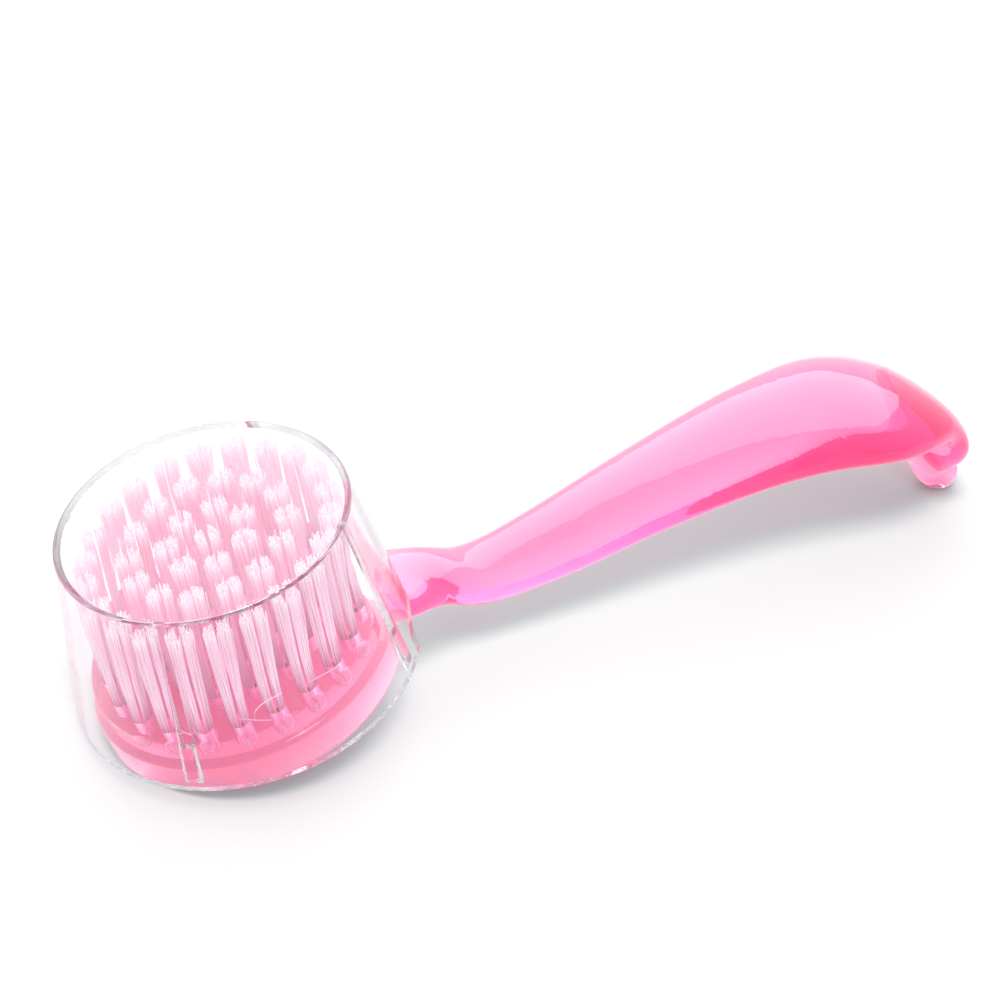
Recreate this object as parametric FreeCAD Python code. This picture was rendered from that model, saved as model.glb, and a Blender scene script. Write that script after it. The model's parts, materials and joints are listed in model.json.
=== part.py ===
"""Nail dust brush with a leaning clear dust cap. Units are millimetres, +Z is up."""
import math
import os

import FreeCAD
import Part

V = FreeCAD.Vector

# Round head. Its own frame has the back face at z = 0, bristles along +z, handle along +x.
HEAD_R = 22.9
HEAD_BACK_T = 6.5           # back face to the shoulder the cap's near fins stand on
SHOULDER_W = 1.1            # how far the tufted plate stands in from the head's side
PLATE_STEP = 3.3            # shoulder to the tufted face
HEAD_EDGE = 1.0             # rounding of the back and shoulder edges
PLATE_EDGE = 0.4

# Tufts: (how far the ring stands in from the outer ring, tufts in the ring), outside in
TUFT_RINGS = [(0.0, 22), (6.6, 14), (12.5, 7)]
RING_MARGIN = 3.2           # plate's side to the outer ring's centre line
HOLE_R = 1.5
HOLE_DEPTH = 4.6            # to the bottom of the round end
TUFT_HOLE_GAP = 0.03
TUFT_LENGTH = 16.9          # above the tufted face
TUFT_FLARE = 0.33           # how much wider a tuft is at its tip
TIP_SIDE_GAP = 0.8          # outer tufts' tips to the cap's wall

# Anchor plates that hold each folded tuft in its hole
ANCHOR_BITE = 0.2           # how far each end is driven into the hole's wall
ANCHOR_T, ANCHOR_H = 0.4, 1.8
ANCHOR_UP = 0.8             # above the hole's bottom
ANCHOR_GAP = 0.02
ANCHOR_TURN = 74.0

# Cap. Its own frame has the open rim at z = 0 and the lid on top.
CAP_HEAD_GAP = 1.9          # head's side to the inside of the cap's rim
CAP_SLOPE = 0.155           # radius the wall loses for each mm of height
CAP_WALL = 1.2
CAP_EDGE = 0.5
TIP_ROOM = 0.48             # nearest bristle tip to the lid
FIN_T = 1.7
FIN_STEP_Z = 6.1            # underside of each fin, which stands on the head
FIN_REACH_LOW = 2.35        # how far a fin stands in from the wall at its step
FIN_REACH_TOP = 0.25
BAR_W = 3.1                 # grip bar up the wall behind each fin
BAR_REACH = 1.15
BAR_FOOT_Z = 0.7
SEAT_GAP = 0.03
NECK_GAP = 0.35             # least room between the cap's notch and the neck
NOTCH_SIDE = 6.9            # room beside the neck
NOTCH_CORNER = 2.2

# Handle. Its line leaves the middle of the head's side and ends in a hook.
HANDLE_REACH = 96.8         # head's side to the furthest point of the line
HANDLE_DROP = 50.4          # how far the hook's end is below the middle of the head's side
NECK_HALF_W = 7.7
# Line: share of the reach, share of the drop, half width, half thickness
HANDLE_LINE = [
    (-0.082, -0.003, 9.4, 2.6),
    (-0.025, 0.017, 8.6, 2.6),
    (0.040, 0.094, NECK_HALF_W, 2.7),
    (0.099, 0.160, 6.3, 3.2),
    (0.177, 0.251, 6.3, 3.39),
    (0.269, 0.290, 7.1, 3.56),
    (0.350, 0.311, 7.9, 3.65),
    (0.443, 0.331, 8.8, 3.71),
    (0.535, 0.357, 9.9, 3.75),
    (0.626, 0.388, 11.1, 3.81),
    (0.718, 0.432, 12.6, 3.95),
    (0.803, 0.491, 14.3, 4.18),
    (0.910, 0.587, 14.7, 4.28),
    (0.980, 0.690, 11.7, 3.64),
    (0.990, 0.869, 8.3, 3.5),
    (1.000, 0.999, 3.2, 3.43),
]
SQUARENESS = 2.4            # 2 is an ellipse, more is boxier
SECTION_POINTS = 28
END_STEPS = [0.3, 0.55, 0.75, 0.88, 0.96]
FOOT_FLAT = 0.25            # how much is trimmed off the hook's end, which the brush stands on

PLATE_R = HEAD_R - SHOULDER_W
PLATE_Z = HEAD_BACK_T + PLATE_STEP
ANCHOR_L = 2 * (HOLE_R + ANCHOR_BITE)
CAP_RIM_R = HEAD_R + CAP_HEAD_GAP + CAP_WALL
NOTCH_HALF_W = NECK_HALF_W + NOTCH_SIDE
FIN_WALL_R = CAP_RIM_R - CAP_SLOPE * FIN_STEP_Z - CAP_WALL
# The far fins stand on the plate, by their inner corners, and the near fins have dropped
# to the edge of the shoulder, so the cap leans towards the handle.
FAR_X = (FIN_WALL_R - FIN_REACH_LOW - FIN_T / 2) * math.cos(math.radians(45))
NEAR_X = (HEAD_R + FIN_T / 2) * math.cos(math.radians(45))
LEAN_SIN = PLATE_STEP / (FAR_X + NEAR_X)
LEAN_COS = math.sqrt(1 - LEAN_SIN ** 2)
CAP_LEAN = math.degrees(math.asin(LEAN_SIN))
CAP_RIM_Z = PLATE_Z + SEAT_GAP - FIN_STEP_Z * LEAN_COS - FAR_X * LEAN_SIN

# The cap has pressed the tufts over towards the handle, so their tips stand under its middle.
TIP_Z = PLATE_Z + TUFT_LENGTH
TIP_R = HOLE_R - TUFT_HOLE_GAP + TUFT_FLARE
TIP_SHIFT = (TIP_Z - CAP_RIM_Z) * LEAN_SIN / LEAN_COS
TIP_RING_R = (CAP_RIM_R - CAP_WALL - CAP_SLOPE * (TIP_Z - CAP_RIM_Z) - TIP_SIDE_GAP - TIP_R)
TIP_SPREAD = TIP_RING_R / (PLATE_R - RING_MARGIN)
CAP_H = ((TIP_Z - CAP_RIM_Z) * LEAN_COS + (TIP_SHIFT + TIP_RING_R + TIP_R) * LEAN_SIN
         + TIP_ROOM + CAP_WALL)
CAP_TOP_R = CAP_RIM_R - CAP_SLOPE * CAP_H


def cap_radius(z):
    return CAP_RIM_R - CAP_SLOPE * z


def revolve(points):
    wire = Part.makePolygon([V(r, 0, z) for r, z in points + points[:1]])
    return Part.Face(wire).revolve(V(0, 0, 0), V(0, 0, 1), 360)


def spline_through(points):
    curve = Part.BSplineCurve()
    curve.interpolate(points)
    return curve


def oval_section(centre, along, half_w, half_t):
    """Closed rounded section square to the centre line, as wide as half_w each side in y."""
    normal = V(-along.z, 0, along.x)
    points = []
    for i in range(SECTION_POINTS):
        t = 2 * math.pi * i / SECTION_POINTS
        c, s = math.cos(t), math.sin(t)
        y = math.copysign(abs(c) ** (2 / SQUARENESS), c) * half_w
        n = math.copysign(abs(s) ** (2 / SQUARENESS), s) * half_t
        points.append(centre + V(0, y, 0) + normal * n)
    curve = Part.BSplineCurve()
    curve.interpolate(points, PeriodicFlag=True)
    return Part.Wire(curve.toShape())


def handle_point(reach_share, drop_share):
    return V(HEAD_R + HANDLE_REACH * reach_share, 0, HEAD_BACK_T / 2 - HANDLE_DROP * drop_share)


def make_handle_bar():
    line = spline_through([handle_point(u, d) for u, d, _, _ in HANDLE_LINE])
    sections = []
    for u, d, half_w, half_t in HANDLE_LINE:
        at = handle_point(u, d)
        along = line.tangent(line.parameter(at))[0]
        sections.append(oval_section(at, along, half_w, half_t))
    for k in END_STEPS:         # rounded in profile, blunter across
        end = at + along * (half_t * k)
        sections.append(oval_section(end, along, half_w * (1 - k ** 4) ** 0.25, half_t * (1 - k * k) ** 0.5))
    return Part.makeLoft(sections, True, False)


def tuft_places():
    """(ring, number, x, y) of each tuft, counted outside in, the middle one last."""
    places = []
    for ring, (inset, count) in enumerate(TUFT_RINGS):
        radius = PLATE_R - RING_MARGIN - inset
        for i in range(count):
            a = 2 * math.pi * i / count
            places.append((ring, i, radius * math.cos(a), radius * math.sin(a)))
    places.append((len(TUFT_RINGS), 0, 0.0, 0.0))
    return places


def anchor_block(x, y, grow):
    block = Part.makeBox(ANCHOR_L + 2 * grow, ANCHOR_T + 2 * grow, ANCHOR_H + 2 * grow,
                         V(-ANCHOR_L / 2 - grow, -ANCHOR_T / 2 - grow, -grow))
    block.rotate(V(0, 0, 0), V(0, 0, 1), ANCHOR_TURN)
    block.translate(V(x, y, PLATE_Z - HOLE_DEPTH + ANCHOR_UP))
    return block


def hole_shape(x, y, radius, top):
    foot = PLATE_Z - HOLE_DEPTH + HOLE_R
    stem = Part.makeCylinder(radius, top - foot, V(x, y, foot))
    return stem.fuse(Part.makeSphere(radius, V(x, y, foot)))


def make_brush_body():
    disc = Part.makeCylinder(HEAD_R, HEAD_BACK_T)
    disc = disc.makeFillet(HEAD_EDGE, [e for e in disc.Edges if e.Closed and e.Curve.TypeId.endswith("Circle")])
    plate = Part.makeCylinder(PLATE_R, PLATE_Z - 1.0, V(0, 0, 1.0))
    top = [e for e in plate.Edges if e.Closed and e.BoundBox.ZMin > PLATE_Z - 0.01]
    plate = plate.makeFillet(PLATE_EDGE, top)
    body = disc.fuse(plate).fuse(make_handle_bar())
    cutters = [hole_shape(x, y, HOLE_R, PLATE_Z + 1) for _, _, x, y in tuft_places()]
    cutters += [anchor_block(x, y, ANCHOR_GAP) for _, _, x, y in tuft_places()]
    return body.cut(cutters).removeSplitter()


def make_tuft(x, y):
    radius = HOLE_R - TUFT_HOLE_GAP
    tip = V(x * TIP_SPREAD + TIP_SHIFT, y * TIP_SPREAD, TIP_Z)
    mouth = V(x, y, PLATE_Z)
    along = (tip - mouth).normalize()
    low = Part.Wire(Part.makeCircle(radius, mouth, V(0, 0, 1)))
    high = Part.Wire(Part.makeCircle(TIP_R, tip, along))
    brush = Part.makeLoft([low, high], True, True)
    root = hole_shape(x, y, radius, PLATE_Z)
    return root.fuse(brush).cut(anchor_block(x, y, ANCHOR_GAP)).removeSplitter()


def make_fin(angle):
    low_r = cap_radius(FIN_STEP_Z) - CAP_WALL
    top_z = CAP_H - CAP_WALL
    top_r = cap_radius(top_z) - CAP_WALL
    into = CAP_WALL / 2
    web = Part.makePolygon([V(low_r - FIN_REACH_LOW, -FIN_T / 2, FIN_STEP_Z),
                            V(low_r + into, -FIN_T / 2, FIN_STEP_Z),
                            V(top_r + into, -FIN_T / 2, top_z + into),
                            V(top_r - FIN_REACH_TOP, -FIN_T / 2, top_z + into),
                            V(low_r - FIN_REACH_LOW, -FIN_T / 2, FIN_STEP_Z)])
    web = Part.Face(web).extrude(V(0, FIN_T, 0))
    foot_r = cap_radius(BAR_FOOT_Z) - CAP_WALL
    rings = []
    for z, r, half, reach in ((BAR_FOOT_Z, foot_r, BAR_W / 2, BAR_REACH), (top_z, top_r, 0.5, 0.12)):
        arc = Part.Arc(V(r + 0.4, -half, z), V(r - reach, 0, z), V(r + 0.4, half, z)).toShape()
        back = Part.makePolygon([V(r + 0.4, half, z), V(r + 0.8, 0, z), V(r + 0.4, -half, z)])
        rings.append(Part.Wire([arc] + back.Edges))
    bar = Part.makeLoft(rings, True, True)
    fin = web.fuse(bar)
    fin.rotate(V(0, 0, 0), V(0, 0, 1), angle)
    return fin


def extent(shapes):
    """Lowest and highest corner, from a fine mesh because a loft's own box is loose."""
    points = [p for shape in shapes for p in shape.tessellate(0.01)[0]]
    return (V(*(min(p[k] for p in points) for k in range(3))),
            V(*(max(p[k] for p in points) for k in range(3))))


def neck_top_at_cap():
    """Highest the neck reaches, in the cap's frame, where it passes through the cap's wall."""
    neck = make_handle_bar()
    neck.translate(V(0, 0, -CAP_RIM_Z))
    neck.rotate(V(0, 0, 0), V(0, 1, 0), -CAP_LEAN)
    inner = cap_radius(NECK_GAP) - 2 * CAP_WALL
    gate = Part.makeBox(CAP_RIM_R - inner, 2 * NOTCH_HALF_W, 40, V(inner, -NOTCH_HALF_W, -20))
    return extent([neck.common(gate)])[1].z


def make_cap():
    top_in = cap_radius(CAP_H - CAP_WALL) - CAP_WALL
    shell = revolve([(0, CAP_H), (CAP_TOP_R, CAP_H), (CAP_RIM_R, 0), (CAP_RIM_R - CAP_WALL, 0),
                     (top_in, CAP_H - CAP_WALL), (0, CAP_H - CAP_WALL)])
    rims = [e for e in shell.Edges if e.Closed and e.BoundBox.ZMin > CAP_H - 0.01]
    shell = shell.makeFillet(CAP_EDGE, rims)
    for k in range(4):
        shell = shell.fuse(make_fin(45 + 90 * k))
    notch_h = neck_top_at_cap() + NECK_GAP
    notch = Part.makeBox(CAP_RIM_R, 2 * NOTCH_HALF_W, notch_h + 5, V(CAP_TOP_R / 2, -NOTCH_HALF_W, -5))
    corners = [e for e in notch.Edges if e.BoundBox.ZMin > notch_h - 0.01 and e.BoundBox.XLength > CAP_TOP_R]
    notch = notch.makeFillet(NOTCH_CORNER, corners)
    return shell.cut(notch).removeSplitter()


def rest_angle():
    """Turn about y that sets the head's far back edge and the handle's tip on the table."""
    far = V(-(HEAD_R - HEAD_EDGE), 0, HEAD_EDGE)
    reach_share, drop_share, _, tip_r = HANDLE_LINE[-1]
    gap = handle_point(reach_share, drop_share) - far
    slope = math.atan2(-gap.z, gap.x)
    return math.degrees(slope + math.asin((tip_r - FOOT_FLAT - HEAD_EDGE) / gap.Length))


def main():
    os.makedirs("parts", exist_ok=True)
    nodes = {"brush_body": make_brush_body()}
    cap = make_cap()
    cap.rotate(V(0, 0, 0), V(0, 1, 0), CAP_LEAN)
    cap.translate(V(0, 0, CAP_RIM_Z))
    nodes["dust_cap"] = cap
    anchors = {}
    for ring, i, x, y in tuft_places():
        nodes["tuft_%d_%02d" % (ring + 1, i + 1)] = make_tuft(x, y)
        anchors.setdefault(ring, []).append(anchor_block(x, y, 0))
    for ring, blocks in anchors.items():
        nodes["anchors_ring_%d" % (ring + 1)] = Part.makeCompound(blocks)

    angle = rest_angle()
    for shape in nodes.values():
        shape.rotate(V(0, 0, 0), V(0, 1, 0), -angle)
    edge = FreeCAD.Rotation(V(0, 1, 0), -angle).multVec(V(HEAD_EDGE - HEAD_R, 0, HEAD_EDGE))
    table_z = edge.z - HEAD_EDGE
    under = Part.makeBox(2 * HANDLE_REACH, 4 * HEAD_R, 4 * FOOT_FLAT, V(0, -2 * HEAD_R, table_z - 4 * FOOT_FLAT))
    nodes["brush_body"] = nodes["brush_body"].cut(under)
    low, high = extent([nodes["brush_body"], nodes["dust_cap"]])
    shift = V(-(low.x + high.x) / 2, 0, -table_z)
    for name, shape in nodes.items():
        shape.translate(shift)
        shape.exportStep("parts/%s.step" % name)
    turn = FreeCAD.Rotation(V(0, 1, 0), -angle)
    print("rest angle %.4f, cap lean %.4f, nodes %d" % (angle, CAP_LEAN, len(nodes)))
    print("size %.3f %.3f %.3f, lowest %.4f" % (high.x - low.x, high.y - low.y, high.z - low.z, low.z - table_z))
    print("head back", shift, turn.multVec(V(0, 0, -1)))
    lean = FreeCAD.Rotation(V(0, 1, 0), CAP_LEAN - angle)
    print("cap axis", lean.multVec(V(0, 0, 1)), "rim", turn.multVec(V(0, 0, CAP_RIM_Z)) + shift)


main()
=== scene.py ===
import json
import math
import random

import bpy
from mathutils import Matrix, Vector


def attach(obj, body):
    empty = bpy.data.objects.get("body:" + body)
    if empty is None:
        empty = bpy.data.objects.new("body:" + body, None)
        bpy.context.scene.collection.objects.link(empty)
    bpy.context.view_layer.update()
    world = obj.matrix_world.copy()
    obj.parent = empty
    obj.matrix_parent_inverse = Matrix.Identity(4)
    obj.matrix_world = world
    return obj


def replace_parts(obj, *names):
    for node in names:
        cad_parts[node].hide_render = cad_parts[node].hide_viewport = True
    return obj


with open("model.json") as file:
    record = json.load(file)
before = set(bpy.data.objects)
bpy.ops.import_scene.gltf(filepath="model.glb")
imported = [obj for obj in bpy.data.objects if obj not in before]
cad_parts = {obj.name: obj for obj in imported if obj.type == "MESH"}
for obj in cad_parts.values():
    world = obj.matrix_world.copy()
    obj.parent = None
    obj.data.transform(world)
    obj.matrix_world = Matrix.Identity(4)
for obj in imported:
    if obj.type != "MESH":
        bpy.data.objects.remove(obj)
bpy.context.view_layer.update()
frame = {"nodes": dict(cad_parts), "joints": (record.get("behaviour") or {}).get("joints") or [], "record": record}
nodes = frame["nodes"]
record = frame["record"]
random.seed(44)


def deselectAll():
    bpy.ops.object.select_all(action="DESELECT")


def namedNode(tree, kind, label, x, y, **values):
    made = tree.nodes.new(kind)
    made.name = made.label = label
    made.location = (x, y)
    for socket, value in values.items():
        made.inputs[socket.replace("_", " ")].default_value = value
    return made


def mathNode(tree, operation, label, x, y):
    made = namedNode(tree, "ShaderNodeMath", label, x, y)
    made.operation = operation
    return made


mixColours = {"first": 6, "second": 7, "result": 2}     # a Mix node's colour sockets, by number


def colourMix(tree, label, x, y):
    made = namedNode(tree, "ShaderNodeMix", label, x, y)
    made.data_type = "RGBA"
    return made


def useMaterial(piece, material):
    piece.data.materials.clear()
    piece.data.materials.append(material)


# The head's own frame: origin at the middle of its back, z up the bristles, x along the handle.
backFace = next(m for m in record["mounts"] if m["name"] == "head_back")
headUp = -Vector(backFace["axis"])
headSide = Vector((0, 1, 0))
headToRow = Matrix.Translation(backFace["pos_m"]) @ Matrix(
    (headSide.cross(headUp), headSide, headUp)).transposed().to_4x4()
rowToHead = headToRow.inverted()

# The cap's frame stands on the same line, at its open rim.
cap = {
    "rimHeight": 0.00223,       # of the open rim's middle, in the head's frame
    "innerRadius": 0.0248,      # at the rim
    "slope": 0.155,             # radius lost for each unit of height
    "finStep": 0.0061,          # height of the fins' stepped undersides
    "finTop": 0.0272,
    "finReach": 0.00235,        # inward from the wall, at the step
    "finTopReach": 0.00025,
    "finHalfThickness": 0.00085,
    "finTurn": 45,              # degrees from the handle's line, four of them round the wall
}
capUp = Vector(frame["joints"][0]["axis"])
capToRow = Matrix.Translation(headToRow @ Vector((0, 0, cap["rimHeight"]))) @ Matrix(
    (headSide.cross(capUp), headSide, capUp)).transposed().to_4x4()
rowToCap = capToRow.inverted()
print("frame: head and cap frames found")


room = {
    "floorSize": 6.0,
    "floorColour": (0.93, 0.93, 0.93, 1),
    "floorRoughness": 0.85,
    "floorGloss": 0.1,
    "worldColour": (0.97, 0.96, 0.98, 1),
    "worldFill": 0.50,          # how brightly the world lights matt faces
    "worldSeen": 0.92,          # how bright it looks in gloss and through plastic
}


def makeFloor():
    bpy.ops.mesh.primitive_plane_add(size=room["floorSize"], location=(0, 0, 0))
    floor = bpy.context.object
    floor.name = "floor"
    paper = bpy.data.materials.new("whitePaper")
    paper.use_nodes = True
    shader = paper.node_tree.nodes["Principled BSDF"]
    shader.inputs["Base Color"].default_value = room["floorColour"]
    shader.inputs["Roughness"].default_value = room["floorRoughness"]
    shader.inputs["Specular IOR Level"].default_value = room["floorGloss"]
    useMaterial(floor, paper)


def makeWorld():
    world = bpy.data.worlds.new("studio")
    bpy.context.scene.world = world
    world.use_nodes = True
    tree = world.node_tree
    back = tree.nodes["Background"]
    back.inputs["Color"].default_value = room["worldColour"]
    paths = namedNode(tree, "ShaderNodeLightPath", "ray kind", -500, 0)
    strength = namedNode(tree, "ShaderNodeMapRange", "fill or seen", -250, 0,
                         To_Min=room["worldSeen"], To_Max=room["worldFill"])
    tree.links.new(paths.outputs["Is Diffuse Ray"], strength.inputs["Value"])
    tree.links.new(strength.outputs["Result"], back.inputs["Strength"])


# place, size, power in watts, colour
lights = {
    "softboxFront": ((-0.31, -0.49, 1.05), (0.34, 0.34), 10.0, (1.0, 1.0, 1.0)),
    "softboxBack": ((0.45, 0.80, 0.66), (1.0, 0.7), 3.5, (0.98, 0.99, 1.0)),
}


def makeLights():
    for name, (place, size, power, colour) in lights.items():
        bpy.ops.object.light_add(type="AREA", location=place)
        lamp = bpy.context.object
        lamp.name = name
        lamp.data.shape = "RECTANGLE"
        lamp.data.size, lamp.data.size_y = size
        lamp.data.energy = power
        lamp.data.color = colour
        lamp.rotation_euler = (-Vector(place)).to_track_quat("-Z", "Y").to_euler()


camera = {
    "place": (-0.21604, -0.32539, 0.27756),
    "turn": (56.669, -1.490, -31.453),     # degrees
    "lens": 110.04,                        # millimetres, as the sensor's width is
    "sensor": 36,
    "nearest": 0.01,
}


def makeCamera():
    bpy.ops.object.camera_add(location=camera["place"],
                              rotation=[math.radians(a) for a in camera["turn"]])
    view = bpy.context.object
    view.data.lens = camera["lens"]
    view.data.sensor_width = camera["sensor"]
    view.data.clip_start = camera["nearest"]
    bpy.context.scene.camera = view


makeFloor()
makeWorld()
makeLights()
makeCamera()
bpy.context.scene.view_settings.view_transform = "Standard"
print("room: floor, world, lights and camera")


moulding = {
    "flowDetail": 2.0,
    "flowSwirl": 0.6,
    "scratchDetail": 3.0,
    "scratchStretch": (0.12, 1, 1),
    "scratchTurn": (0.3, 0.5, 0.7),
    "scratchFrom": 0.66,        # only the noise above this is a scratch, in full from the next
    "scratchFull": 0.74,
    "speckEdge": 0.16,          # of a cell's width
    "speckFull": 0.08,
    "markShare": 0.75,          # of the added roughness
    "flowShare": 0.25,
    "markDepth": -0.12,         # against the flow marks' height
}


# Faint flow marks, handling scratches and matt specks, as moulded and stamped faces have them.
def makeMouldedSurface():
    m = moulding
    group = bpy.data.node_groups.new("mouldedSurface", "ShaderNodeTree")
    sockets = group.interface
    sockets.new_socket("Vector", in_out="INPUT", socket_type="NodeSocketVector")
    for name in ("Flow Scale", "Scratch Scale", "Least Roughness", "Added Roughness"):
        sockets.new_socket(name, in_out="INPUT", socket_type="NodeSocketFloat")
    for name in ("Roughness", "Height", "Flow"):
        sockets.new_socket(name, in_out="OUTPUT", socket_type="NodeSocketFloat")
    link = group.links.new
    given = namedNode(group, "NodeGroupInput", "given", -1100, 0)
    result = namedNode(group, "NodeGroupOutput", "result", 500, 0)
    flow = namedNode(group, "ShaderNodeTexNoise", "flow marks", -700, 300,
                     Detail=m["flowDetail"], Distortion=m["flowSwirl"])
    stretch = namedNode(group, "ShaderNodeMapping", "scratches run long", -900, 0,
                        Scale=m["scratchStretch"], Rotation=m["scratchTurn"])
    scratch = namedNode(group, "ShaderNodeTexNoise", "scratches", -700, 0, Detail=m["scratchDetail"])
    thin = namedNode(group, "ShaderNodeMapRange", "only the thinnest", -450, 0,
                     From_Min=m["scratchFrom"], From_Max=m["scratchFull"])
    specks = namedNode(group, "ShaderNodeTexVoronoi", "specks", -700, -300, Randomness=1.0)
    small = namedNode(group, "ShaderNodeMapRange", "small specks", -450, -300,
                      From_Min=m["speckEdge"], From_Max=m["speckFull"])
    marks = mathNode(group, "MAXIMUM", "all marks", -200, -100)
    faint = mathNode(group, "MULTIPLY", "faint flow", -200, 200)
    faint.inputs[1].default_value = m["flowShare"]
    worn = mathNode(group, "MULTIPLY_ADD", "marks on flow", 0, 0)
    worn.inputs[1].default_value = m["markShare"]
    rough = mathNode(group, "MULTIPLY_ADD", "roughness", 250, 100)
    height = mathNode(group, "MULTIPLY_ADD", "height", 250, -150)
    height.inputs[1].default_value = m["markDepth"]
    for pattern in (flow, stretch, specks):
        link(given.outputs["Vector"], pattern.inputs["Vector"])
    for pattern in (scratch, specks):
        link(given.outputs["Scratch Scale"], pattern.inputs["Scale"])
    link(given.outputs["Flow Scale"], flow.inputs["Scale"])
    link(stretch.outputs["Vector"], scratch.inputs["Vector"])
    link(scratch.outputs["Fac"], thin.inputs["Value"])
    link(specks.outputs["Distance"], small.inputs["Value"])
    link(thin.outputs["Result"], marks.inputs[0])
    link(small.outputs["Result"], marks.inputs[1])
    link(flow.outputs["Fac"], faint.inputs[0])
    link(marks.outputs[0], worn.inputs[0])
    link(faint.outputs[0], worn.inputs[2])
    link(worn.outputs[0], rough.inputs[0])
    link(given.outputs["Added Roughness"], rough.inputs[1])
    link(given.outputs["Least Roughness"], rough.inputs[2])
    link(marks.outputs[0], height.inputs[0])
    link(flow.outputs["Fac"], height.inputs[2])
    link(rough.outputs[0], result.inputs["Roughness"])
    link(height.outputs[0], result.inputs["Height"])
    link(flow.outputs["Fac"], result.inputs["Flow"])
    return group


mouldedSurface = makeMouldedSurface()


def addMouldedSurface(tree, shader, values):
    place = namedNode(tree, "ShaderNodeTexCoord", "place", -1200, 0)
    marks = namedNode(tree, "ShaderNodeGroup", "moulded surface", -950, 0)
    marks.node_tree = mouldedSurface
    marks.inputs["Flow Scale"].default_value = values["flowScale"]
    marks.inputs["Scratch Scale"].default_value = values["scratchScale"]
    marks.inputs["Least Roughness"].default_value = values["roughness"]
    marks.inputs["Added Roughness"].default_value = values["wear"]
    bump = namedNode(tree, "ShaderNodeBump", "surface marks", -350, -200,
                     Strength=values["relief"], Distance=values["reliefDepth"])
    tint = colourMix(tree, "tint drifts", -350, 200)
    tint.inputs[mixColours["first"]].default_value = values["tint"]
    tint.inputs[mixColours["second"]].default_value = values["deeperTint"]
    tree.links.new(place.outputs["Object"], marks.inputs["Vector"])
    tree.links.new(marks.outputs["Roughness"], shader.inputs["Roughness"])
    tree.links.new(marks.outputs["Height"], bump.inputs["Height"])
    tree.links.new(bump.outputs["Normal"], shader.inputs["Normal"])
    tree.links.new(marks.outputs["Flow"], tint.inputs[0])
    tree.links.new(tint.outputs[mixColours["result"]], shader.inputs["Base Color"])


pinkPlastic = {
    "tint": (1.0, 0.97, 0.985, 1),
    "deeperTint": (1.0, 0.92, 0.955, 1),
    "roughness": 0.02,
    "wear": 0.10,                           # roughness added where it is marked
    "flowScale": 60.0,
    "scratchScale": 700.0,
    "relief": 0.04,
    "reliefDepth": 0.0002,
    "ior": 1.2,
    "coat": 0.8,
    "absorbs": (0.995, 0.10, 0.43, 1),      # depth takes away what this lacks
    "density": 135.0,
    "lampTint": (0.55, 0.79, 0.71, 1),      # for lamps' light, so that depth and tint make a grey shadow
    "paintedGlow": (1.0, 0.11, 0.40, 1),           # painted light: emission that stands in for light spread inside, which the renderer doesn't follow
    "paintedGlowStrength": 0.30,
    "trappedAfter": 3.5,                    # bounces after which light goes straight on
}

clearPlastic = {
    "tint": (0.95, 0.94, 0.955, 1),
    "deeperTint": (0.935, 0.922, 0.94, 1),
    "roughness": 0.01,
    "wear": 0.12,
    "flowScale": 45.0,
    "scratchScale": 600.0,
    "relief": 0.02,
    "reliefDepth": 0.0001,
    "ior": 1.4,
    "coat": 0.3,
    "absorbs": (0.62, 0.52, 0.68, 1),
    "density": 5.0,
    "lampTint": (0.94, 0.94, 0.95, 1),
    # painted light: a faint emission standing in for light spread inside the clear plastic
    "paintedGlow": (0.94, 0.90, 0.96, 1),
    "paintedGlowStrength": 0.025,
    "trappedAfter": 2.5,
}


def makeClearMaterial(name, values):
    made = bpy.data.materials.new(name)
    made.use_nodes = True
    made.cycles.emission_sampling = "NONE"      # its painted emission lights nothing else
    tree = made.node_tree
    shader = tree.nodes["Principled BSDF"]
    shader.inputs["IOR"].default_value = values["ior"]
    shader.inputs["Transmission Weight"].default_value = 1.0
    shader.inputs["Coat Weight"].default_value = values["coat"]
    shader.inputs["Coat Roughness"].default_value = values["roughness"]
    # painted light: the plastic glows by itself, standing in for light spread inside it
    shader.inputs["Emission Color"].default_value = values["paintedGlow"]
    shader.inputs["Emission Strength"].default_value = values["paintedGlowStrength"]
    addMouldedSurface(tree, shader, values)
    out = tree.nodes["Material Output"]
    depth = namedNode(tree, "ShaderNodeVolumeAbsorption", "tint by depth", 0, -300,
                      Color=values["absorbs"], Density=values["density"])
    tree.links.new(depth.outputs["Volume"], out.inputs["Volume"])
    paths = namedNode(tree, "ShaderNodeLightPath", "ray kind", -300, 500)
    through = namedNode(tree, "ShaderNodeBsdfTransparent", "light passes", 0, 400,
                        Color=values["lampTint"])
    leaves = namedNode(tree, "ShaderNodeBsdfTransparent", "trapped light leaves", 0, 550)
    deep = mathNode(tree, "GREATER_THAN", "trapped", -100, 700)
    deep.inputs[1].default_value = values["trappedAfter"]
    tree.links.new(paths.outputs["Ray Depth"], deep.inputs[0])
    last = shader.outputs[0]
    stages = ((deep.outputs[0], leaves, "for trapped light"),
              (paths.outputs["Is Diffuse Ray"], through, "for bounced light"),
              (paths.outputs["Is Shadow Ray"], through, "for lamps"))
    for place, (factor, other, label) in enumerate(stages):
        mix = namedNode(tree, "ShaderNodeMixShader", label, 300 + 200 * place, 200)
        tree.links.new(factor, mix.inputs[0])
        tree.links.new(last, mix.inputs[1])
        tree.links.new(other.outputs[0], mix.inputs[2])
        last = mix.outputs[0]
    tree.links.new(last, out.inputs["Surface"])
    out.location = (1000, 200)
    return made


pink = makeClearMaterial("pinkClearPlastic", pinkPlastic)
clear = makeClearMaterial("clearPlastic", clearPlastic)

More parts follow.
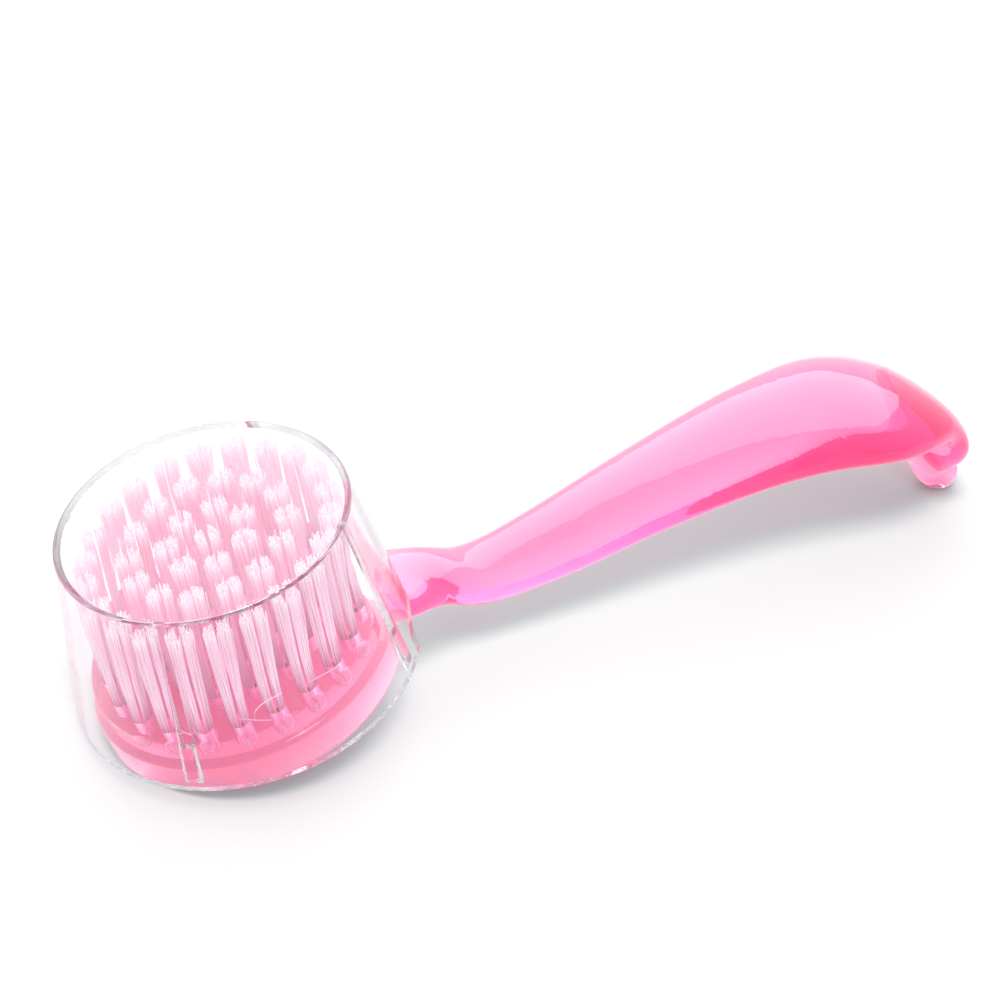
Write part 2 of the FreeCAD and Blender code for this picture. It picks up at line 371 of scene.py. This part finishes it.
nylon = {
    "plateHeight": 0.0098,      # of the tufted face, in the head's frame
    "tipHeight": 0.0267,
    "stops": (                  # share of the way from the plate to the tips, colour
        (0.00, (0.90, 0.24, 0.45, 1)),
        (0.09, (0.92, 0.44, 0.64, 1)),
        (0.30, (0.99, 0.71, 0.84, 1)),
        (0.85, (0.99, 0.71, 0.83, 1)),
        (1.00, (0.98, 0.85, 0.91, 1)),
    ),
    "paintedShadeAmongTufts": (0.95, 0.36, 0.60, 1),   # painted shade: light is pinker and dimmer down among the inner tufts, painted into their colour
    "othersFrom": (0.0195, 0.0125),         # distance from the head's axis: none, most
    "othersBelow": (0.0268, 0.0235),        # height in the head's frame: none, most
    "othersMost": 0.75,
    "streakScale": 2600.0,
    "streakDetail": 2.0,
    "streakStretch": (1.0, 1.0, 0.03),
    "streakShade": (0.84, 1.06),
    "roughness": 0.38,
    # painted light: the filaments glow by themselves, standing in for light spreading through the nylon
    "paintedGlowInNylon": 0.17,
}


def makeNylon():
    made = bpy.data.materials.new("nylonFilament")
    made.use_nodes = True
    made.cycles.emission_sampling = "NONE"      # its painted emission lights nothing else
    tree = made.node_tree
    link = tree.links.new
    shader = tree.nodes["Principled BSDF"]
    shader.inputs["Roughness"].default_value = nylon["roughness"]
    # painted light: emission strength of the filaments' glow
    shader.inputs["Emission Strength"].default_value = nylon["paintedGlowInNylon"]
    place = namedNode(tree, "ShaderNodeTexCoord", "place", -1200, 0)
    turn = namedNode(tree, "ShaderNodeMapping", "turned to the head", -1000, 0,
                     Rotation=rowToHead.to_euler(), Location=rowToHead.to_translation())
    split = namedNode(tree, "ShaderNodeSeparateXYZ", "height", -800, 100)
    height = namedNode(tree, "ShaderNodeMapRange", "root to tip", -600, 100,
                       From_Min=nylon["plateHeight"], From_Max=nylon["tipHeight"])
    colour = namedNode(tree, "ShaderNodeValToRGB", "pink at the root", -400, 100)
    stops = colour.color_ramp.elements
    for share, value in nylon["stops"][1:-1]:
        stops.new(share)
    for stop, (share, value) in zip(stops, nylon["stops"]):
        stop.position = share
        stop.color = value
    flat = namedNode(tree, "ShaderNodeVectorMath", "across the head", -800, 450)
    flat.operation = "MULTIPLY"
    flat.inputs[1].default_value = (1, 1, 0)
    away = namedNode(tree, "ShaderNodeVectorMath", "distance from the axis", -600, 450)
    away.operation = "LENGTH"
    # painted shade: where it falls, inward of the outer tufts and below the tips
    inner = namedNode(tree, "ShaderNodeMapRange", "inner tufts", -400, 450,
                      From_Min=nylon["othersFrom"][0], From_Max=nylon["othersFrom"][1])
    below = namedNode(tree, "ShaderNodeMapRange", "below the tips", -400, 650,
                      From_Min=nylon["othersBelow"][0], From_Max=nylon["othersBelow"][1],
                      To_Max=nylon["othersMost"])
    among = mathNode(tree, "MULTIPLY", "among the others", -200, 500)
    deepened = colourMix(tree, "pinker among the others", -50, 250)
    deepened.inputs[mixColours["second"]].default_value = nylon["paintedShadeAmongTufts"]
    streaks = namedNode(tree, "ShaderNodeTexNoise", "single filaments", -600, -200,
                        Scale=nylon["streakScale"], Detail=nylon["streakDetail"])
    drawn = namedNode(tree, "ShaderNodeMapping", "drawn out lengthways", -800, -200,
                      Scale=nylon["streakStretch"])
    shade = namedNode(tree, "ShaderNodeMapRange", "streak shade", -400, -200,
                      To_Min=nylon["streakShade"][0], To_Max=nylon["streakShade"][1])
    both = namedNode(tree, "ShaderNodeVectorMath", "shaded", -150, 0)
    both.operation = "SCALE"
    link(place.outputs["Object"], turn.inputs["Vector"])
    link(turn.outputs["Vector"], split.inputs["Vector"])
    link(split.outputs["Z"], height.inputs["Value"])
    link(height.outputs["Result"], colour.inputs["Fac"])
    link(turn.outputs["Vector"], drawn.inputs["Vector"])
    link(drawn.outputs["Vector"], streaks.inputs["Vector"])
    link(streaks.outputs["Fac"], shade.inputs["Value"])
    link(turn.outputs["Vector"], flat.inputs[0])
    link(flat.outputs["Vector"], away.inputs[0])
    link(away.outputs["Value"], inner.inputs["Value"])
    link(split.outputs["Z"], below.inputs["Value"])
    link(inner.outputs["Result"], among.inputs[0])
    link(below.outputs["Result"], among.inputs[1])
    link(among.outputs[0], deepened.inputs[0])
    link(colour.outputs["Color"], deepened.inputs[mixColours["first"]])
    link(deepened.outputs[mixColours["result"]], both.inputs[0])
    link(shade.outputs["Result"], both.inputs["Scale"])
    link(both.outputs["Vector"], shader.inputs["Base Color"])
    # painted light: the glow takes the filaments' own colour
    link(both.outputs["Vector"], shader.inputs["Emission Color"])
    return made


anchorWire = {
    "tint": (0.36, 0.34, 0.36, 1),
    "deeperTint": (0.22, 0.21, 0.23, 1),
    "roughness": 0.32,
    "wear": 0.4,
    "flowScale": 900.0,
    "scratchScale": 4000.0,
    "relief": 0.2,
    "reliefDepth": 0.00002,
}


def makeAnchorMetal():
    made = bpy.data.materials.new("anchorMetal")
    made.use_nodes = True
    shader = made.node_tree.nodes["Principled BSDF"]
    shader.inputs["Metallic"].default_value = 1.0
    addMouldedSurface(made.node_tree, shader, anchorWire)
    return made


nylonMaterial = makeNylon()
anchorMaterial = makeAnchorMetal()
useMaterial(nodes["brush_body"], pink)
useMaterial(nodes["dust_cap"], clear)
for name, node in nodes.items():
    if name.startswith("anchors"):
        useMaterial(node, anchorMaterial)
print("materials: plastics, nylon and metal")


bristle = {
    "folded": 66,               # filaments bent double in each hole
    "radius": 0.000085,
    "holeRadius": 0.00136,
    "nearestFold": 0.00022,     # from the anchor's middle plane
    "foldDepth": 0.00395,       # below the tufted face
    "foldSpread": 0.00025,
    "foldAlong": 0.62,          # how much narrower the bundle is at the fold
    "inHole": (                 # shares of its place across and along, and height from the mouth
        (0.55, 0.85, -0.00345),
        (0.85, 0.95, -0.0019),
    ),
    "anchorTurn": 74.0,         # degrees from the handle's line
    "lobeGap": 0.00030,         # at the tips, between a tuft's two halves and its middle
    "lobeWidth": 0.00150,
    "flare": 1.32,              # how much longer a tuft is at its tips, along the anchor
    "raggedLength": 0.00042,
    "overTip": 0.00010,
    "wander": 0.00012,
    "tipWander": 0.00019,
    "stations": (0.0, 0.12, 0.38, 0.70, 1.0),
    "heldBelow": 0.1,           # of a filament's height, where its hole holds it
    "bend": 1.12,
    "wallGap": 0.00025,         # kept from the cap
    "tipBand": 0.0006,          # the plain tuft's top and bottom slices that are read
    "rootBand": 0.003,
    "mouthAboveRoot": 0.00457,
}
anchorTurn = math.radians(bristle["anchorTurn"])
alongAnchor = Vector((math.cos(anchorTurn), math.sin(anchorTurn), 0))
acrossAnchor = Vector((math.sin(anchorTurn), -math.cos(anchorTurn), 0))


def middleOf(points):
    return Vector([(min(p[k] for p in points) + max(p[k] for p in points)) / 2 for k in (0, 1)])


def tuftLine(node):
    # The mouth of the hole and the middle of the tips, read from the plain tuft.
    points = [rowToHead @ v.co for v in node.data.vertices]
    top = max(p.z for p in points)
    low = min(p.z for p in points)
    tip = middleOf([p for p in points if p.z > top - bristle["tipBand"]])
    root = middleOf([p for p in points if p.z < low + bristle["rootBand"]])
    return Vector((*root, low + bristle["mouthAboveRoot"])), Vector((*tip, top))


def finAside(p):
    # How far a point stands from the middle plane of the nearest of the four fins.
    turned = (math.atan2(p.y, p.x) - math.radians(cap["finTurn"])) % (math.pi / 2)
    return math.hypot(p.x, p.y) * abs(math.sin(min(turned, math.pi / 2 - turned)))


def keepInsideCap(point):
    p = rowToCap @ (headToRow @ point)
    reach = math.hypot(p.x, p.y)
    most = cap["innerRadius"] - cap["slope"] * p.z - bristle["wallGap"]
    up = (p.z - cap["finStep"]) / (cap["finTop"] - cap["finStep"])
    if up > 0 and finAside(p) < cap["finHalfThickness"] + bristle["wallGap"]:
        most -= cap["finReach"] + (cap["finTopReach"] - cap["finReach"]) * up
    if reach > most:
        p.x *= most / reach
        p.y *= most / reach
    return rowToHead @ (capToRow @ p)


def halfFilament(mouth, tip, side, along, across):
    b = bristle
    sideways = acrossAnchor * side
    share = (across - b["nearestFold"]) / (b["holeRadius"] - b["nearestFold"])
    points = [mouth + sideways * (b["nearestFold"] + across * s) + alongAnchor * along * l
              + Vector((0, 0, z)) for s, l, z in b["inHole"]]
    start = mouth + sideways * across + alongAnchor * along
    end = tip + sideways * (b["lobeGap"] + share * b["lobeWidth"]) + alongAnchor * along * b["flare"]
    end += Vector((random.gauss(0, b["tipWander"]), random.gauss(0, b["tipWander"]), 0))
    end.z = tip.z + b["overTip"] - abs(random.gauss(0, b["raggedLength"]))
    for f in b["stations"]:
        p = start.lerp(end, f ** b["bend"])
        p.z = start.z + (end.z - start.z) * f
        if 0 < f < 1:
            p += Vector((random.gauss(0, f), random.gauss(0, f), 0)) * b["wander"]
        points.append(keepInsideCap(p) if f > b["heldBelow"] else p)
    return points


def placeInHole():
    # A random place in the hole's half circle: across the anchor, and along it.
    b = bristle
    while True:
        across = random.uniform(b["nearestFold"], b["holeRadius"])
        along = random.uniform(-b["holeRadius"], b["holeRadius"])
        if math.hypot(across, along) < b["holeRadius"]:
            return across, along


def foldedFilament(mouth, tip):
    b = bristle
    across, along = placeInHole()
    widest = math.sqrt(b["holeRadius"] ** 2 - along ** 2)
    otherAcross = random.uniform(b["nearestFold"], max(widest, b["nearestFold"]))
    depth = b["foldDepth"] + random.uniform(0, b["foldSpread"])
    fold = mouth + alongAnchor * along * b["foldAlong"] - Vector((0, 0, depth))
    left = halfFilament(mouth, tip, -1, along, across)
    right = halfFilament(mouth, tip, 1, along, otherAcross)
    return left[::-1] + [fold] + right


def makeFilaments(name, lines):
    # Each line becomes a round filament; all of them together are one mesh piece.
    deselectAll()
    bpy.ops.curve.primitive_nurbs_path_add(location=(0, 0, 0))
    piece = bpy.context.object
    piece.name = name
    curve = piece.data
    curve.splines.clear()
    curve.bevel_depth = bristle["radius"]
    curve.bevel_resolution = 0
    curve.use_fill_caps = True
    for points in lines:
        spline = curve.splines.new("POLY")
        spline.points.add(len(points) - 1)
        for place, p in zip(spline.points, points):
            place.co = (headToRow @ p).to_4d()
    bpy.ops.object.convert(target="MESH")
    bpy.ops.object.shade_smooth()
    piece = bpy.context.object
    useMaterial(piece, nylonMaterial)
    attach(piece, "brush")
    return piece


for name in sorted(nodes):
    if name.startswith("tuft"):
        mouth, tip = tuftLine(nodes[name])
        lines = [foldedFilament(mouth, tip) for _ in range(bristle["folded"])]
        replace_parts(makeFilaments("bristles" + name[4:], lines), name)
print("bristles: tufts made")


# Filaments that worked loose and lie at the edge of the tufted face.
loose = {
    "filaments": (              # degrees round the head, reach of the root and of the tip, rise
        (-116, 0.0182, 0.0214, 0.0004),
        (-108, 0.0198, 0.0206, 0.0034),
        (-84, 0.0190, 0.0213, 0.0012),
        (-141, 0.0186, 0.0212, 0.0008),
    ),
    "turn": 14,                 # degrees the tip is turned on from the root
    "steps": 8,
    "arch": 0.0009,
}


def looseLine(degrees, root, tip, rise):
    points = []
    for step in range(loose["steps"] + 1):
        f = step / loose["steps"]
        turned = math.radians(degrees + loose["turn"] * f * f)
        reach = root + (tip - root) * f
        lift = rise * f + loose["arch"] * math.sin(math.pi * f)
        up = nylon["plateHeight"] + bristle["radius"] + lift
        points.append(Vector((reach * math.cos(turned), reach * math.sin(turned), up)))
    return points


makeFilaments("loose_filaments", [looseLine(*values) for values in loose["filaments"]])
print("bristles: loose filaments made")
